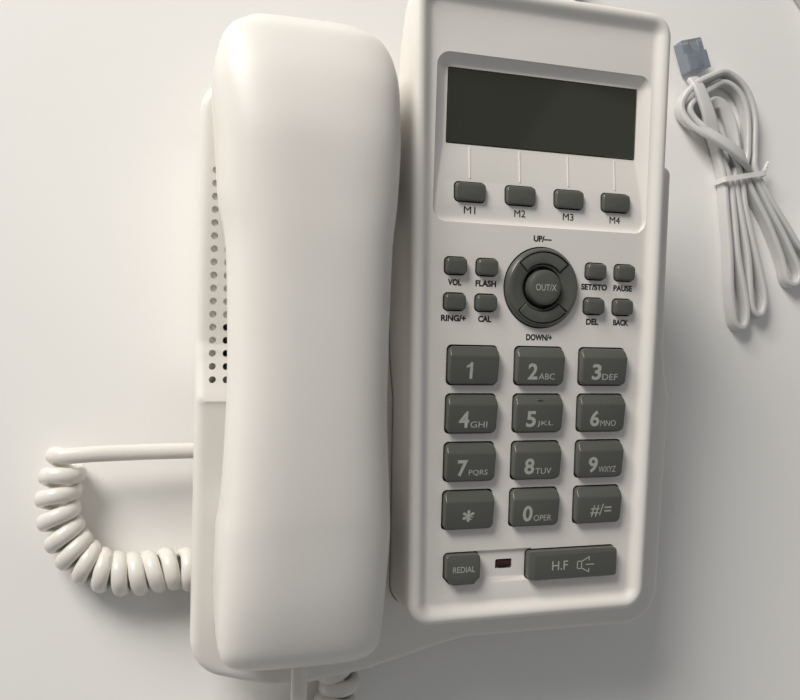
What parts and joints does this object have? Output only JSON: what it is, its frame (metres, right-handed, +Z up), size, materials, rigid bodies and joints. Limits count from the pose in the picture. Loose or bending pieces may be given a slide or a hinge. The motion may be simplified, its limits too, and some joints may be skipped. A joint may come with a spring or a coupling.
{
  "type": "corded landline telephone",
  "caption": "Corded desk telephone: sloped cradle base with sprung keypad panel and display, lift-off handset on a coiled cord, and a tied flat line cord.",
  "frame": {"origin": "centre of the phone's footprint on the desk, without its free cords", "axes": "+X to the user's right, +Y to the back, +Z up"},
  "size_m": [0.2988, 0.3227, 0.07],
  "materials": {
    "shell": "fine satin moulded ABS, warm ivory",
    "key_grey": "satin moulded ABS, mid grey",
    "display_window": "polished lens over an unlit olive display",
    "display_frame": "plain metal frame",
    "circuit_board": "solder-masked board",
    "silicone": "matt silicone",
    "indicator": "unlit dark red lens",
    "black_plastic": "moulded black",
    "rubber": "matt rubber",
    "screw_steel": "zinc plated",
    "cord_pvc": "glossy PVC, ivory",
    "clear_plug": "clear polycarbonate",
    "line_pvc": "flat PVC, light grey"
  },
  "bodies": {
    "base": {"upper_housing": "shell", "lower_housing": "shell", "control_panel": "shell", "display_window": "display_window", "lcd_module": "display_frame", "main_board": "circuit_board", "keypad_membrane": "silicone", "nav_ring": "key_grey", "indicator_lens": "indicator", "loudspeaker": "black_plastic", "handset_jack": "black_plastic", "line_jack": "black_plastic", "foot_1": "rubber", "foot_2": "rubber", "foot_3": "rubber", "foot_4": "rubber", "housing_screw_1": "screw_steel", "housing_screw_2": "screw_steel", "handset_cord_coil": "cord_pvc", "handset_cord_base_tail": "cord_pvc", "handset_cord_handset_tail": "cord_pvc", "handset_cord_plug": "clear_plug", "line_cord_lead": "line_pvc", "line_cord_hank": "line_pvc", "line_cord_free_plug": "clear_plug", "line_cord_plug": "clear_plug"},
    "handset": {"handset_back_shell": "shell", "handset_face_shell": "shell", "handset_receiver": "black_plastic", "handset_microphone": "black_plastic"},
    "hook": {"hook_switch": "shell"},
    "key_one": {"key_one": "key_grey"},
    "key_two": {"key_two": "key_grey"},
    "key_three": {"key_three": "key_grey"},
    "key_four": {"key_four": "key_grey"},
    "key_five": {"key_five": "key_grey"},
    "key_six": {"key_six": "key_grey"},
    "key_seven": {"key_seven": "key_grey"},
    "key_eight": {"key_eight": "key_grey"},
    "key_nine": {"key_nine": "key_grey"},
    "key_star": {"key_star": "key_grey"},
    "key_zero": {"key_zero": "key_grey"},
    "key_hash": {"key_hash": "key_grey"},
    "key_memory_1": {"key_memory_1": "key_grey"},
    "key_memory_2": {"key_memory_2": "key_grey"},
    "key_memory_3": {"key_memory_3": "key_grey"},
    "key_memory_4": {"key_memory_4": "key_grey"},
    "key_volume": {"key_volume": "key_grey"},
    "key_flash": {"key_flash": "key_grey"},
    "key_ring": {"key_ring": "key_grey"},
    "key_calibrate": {"key_calibrate": "key_grey"},
    "key_store": {"key_store": "key_grey"},
    "key_pause": {"key_pause": "key_grey"},
    "key_delete": {"key_delete": "key_grey"},
    "key_back": {"key_back": "key_grey"},
    "key_redial": {"key_redial": "key_grey"},
    "key_handsfree": {"key_handsfree": "key_grey"},
    "key_up": {"key_up": "key_grey"},
    "key_down": {"key_down": "key_grey"},
    "key_out": {"key_out": "key_grey"}
  },
  "joints": [
    {"name": "handset_lift", "type": "slide", "parent": "base", "child": "handset", "axis": [0, -0.1219, 0.9925], "range_m": [0, 0.08]},
    {"name": "hook_rise", "type": "slide", "parent": "base", "child": "hook", "axis": [0, -0.1219, 0.9925], "range_m": [0, 0.004]},
    {"name": "press_one", "type": "slide", "parent": "base", "child": "key_one", "axis": [0, 0.1219, -0.9925], "range_m": [0, 0.0012], "stiffness_N_per_m": 500},
    {"name": "press_two", "type": "slide", "parent": "base", "child": "key_two", "axis": [0, 0.1219, -0.9925], "range_m": [0, 0.0012], "stiffness_N_per_m": 500},
    {"name": "press_three", "type": "slide", "parent": "base", "child": "key_three", "axis": [0, 0.1219, -0.9925], "range_m": [0, 0.0012], "stiffness_N_per_m": 500},
    {"name": "press_four", "type": "slide", "parent": "base", "child": "key_four", "axis": [0, 0.1219, -0.9925], "range_m": [0, 0.0012], "stiffness_N_per_m": 500},
    {"name": "press_five", "type": "slide", "parent": "base", "child": "key_five", "axis": [0, 0.1219, -0.9925], "range_m": [0, 0.0012], "stiffness_N_per_m": 500},
    {"name": "press_six", "type": "slide", "parent": "base", "child": "key_six", "axis": [0, 0.1219, -0.9925], "range_m": [0, 0.0012], "stiffness_N_per_m": 500},
    {"name": "press_seven", "type": "slide", "parent": "base", "child": "key_seven", "axis": [0, 0.1219, -0.9925], "range_m": [0, 0.0012], "stiffness_N_per_m": 500},
    {"name": "press_eight", "type": "slide", "parent": "base", "child": "key_eight", "axis": [0, 0.1219, -0.9925], "range_m": [0, 0.0012], "stiffness_N_per_m": 500},
    {"name": "press_nine", "type": "slide", "parent": "base", "child": "key_nine", "axis": [0, 0.1219, -0.9925], "range_m": [0, 0.0012], "stiffness_N_per_m": 500},
    {"name": "press_star", "type": "slide", "parent": "base", "child": "key_star", "axis": [0, 0.1219, -0.9925], "range_m": [0, 0.0012], "stiffness_N_per_m": 500},
    {"name": "press_zero", "type": "slide", "parent": "base", "child": "key_zero", "axis": [0, 0.1219, -0.9925], "range_m": [0, 0.0012], "stiffness_N_per_m": 500},
    {"name": "press_hash", "type": "slide", "parent": "base", "child": "key_hash", "axis": [0, 0.1219, -0.9925], "range_m": [0, 0.0012], "stiffness_N_per_m": 500},
    {"name": "press_memory_1", "type": "slide", "parent": "base", "child": "key_memory_1", "axis": [0, 0.1219, -0.9925], "range_m": [0, 0.0012], "stiffness_N_per_m": 500},
    {"name": "press_memory_2", "type": "slide", "parent": "base", "child": "key_memory_2", "axis": [0, 0.1219, -0.9925], "range_m": [0, 0.0012], "stiffness_N_per_m": 500},
    {"name": "press_memory_3", "type": "slide", "parent": "base", "child": "key_memory_3", "axis": [0, 0.1219, -0.9925], "range_m": [0, 0.0012], "stiffness_N_per_m": 500},
    {"name": "press_memory_4", "type": "slide", "parent": "base", "child": "key_memory_4", "axis": [0, 0.1219, -0.9925], "range_m": [0, 0.0012], "stiffness_N_per_m": 500},
    {"name": "press_volume", "type": "slide", "parent": "base", "child": "key_volume", "axis": [0, 0.1219, -0.9925], "range_m": [0, 0.0012], "stiffness_N_per_m": 500},
    {"name": "press_flash", "type": "slide", "parent": "base", "child": "key_flash", "axis": [0, 0.1219, -0.9925], "range_m": [0, 0.0012], "stiffness_N_per_m": 500},
    {"name": "press_ring", "type": "slide", "parent": "base", "child": "key_ring", "axis": [0, 0.1219, -0.9925], "range_m": [0, 0.0012], "stiffness_N_per_m": 500},
    {"name": "press_calibrate", "type": "slide", "parent": "base", "child": "key_calibrate", "axis": [0, 0.1219, -0.9925], "range_m": [0, 0.0012], "stiffness_N_per_m": 500},
    {"name": "press_store", "type": "slide", "parent": "base", "child": "key_store", "axis": [0, 0.1219, -0.9925], "range_m": [0, 0.0012], "stiffness_N_per_m": 500},
    {"name": "press_pause", "type": "slide", "parent": "base", "child": "key_pause", "axis": [0, 0.1219, -0.9925], "range_m": [0, 0.0012], "stiffness_N_per_m": 500},
    {"name": "press_delete", "type": "slide", "parent": "base", "child": "key_delete", "axis": [0, 0.1219, -0.9925], "range_m": [0, 0.0012], "stiffness_N_per_m": 500},
    {"name": "press_back", "type": "slide", "parent": "base", "child": "key_back", "axis": [0, 0.1219, -0.9925], "range_m": [0, 0.0012], "stiffness_N_per_m": 500},
    {"name": "press_redial", "type": "slide", "parent": "base", "child": "key_redial", "axis": [0, 0.1219, -0.9925], "range_m": [0, 0.0012], "stiffness_N_per_m": 500},
    {"name": "press_handsfree", "type": "slide", "parent": "base", "child": "key_handsfree", "axis": [0, 0.1219, -0.9925], "range_m": [0, 0.0012], "stiffness_N_per_m": 500},
    {"name": "press_up", "type": "slide", "parent": "base", "child": "key_up", "axis": [0, 0.1219, -0.9925], "range_m": [0, 0.0012], "stiffness_N_per_m": 500},
    {"name": "press_down", "type": "slide", "parent": "base", "child": "key_down", "axis": [0, 0.1219, -0.9925], "range_m": [0, 0.0012], "stiffness_N_per_m": 500},
    {"name": "press_out", "type": "slide", "parent": "base", "child": "key_out", "axis": [0, 0.1219, -0.9925], "range_m": [0, 0.0012], "stiffness_N_per_m": 500}
  ],
  "couplings": [
    {"joint": "hook_rise", "follows": "handset_lift", "ratio": 0.05}
  ]
}
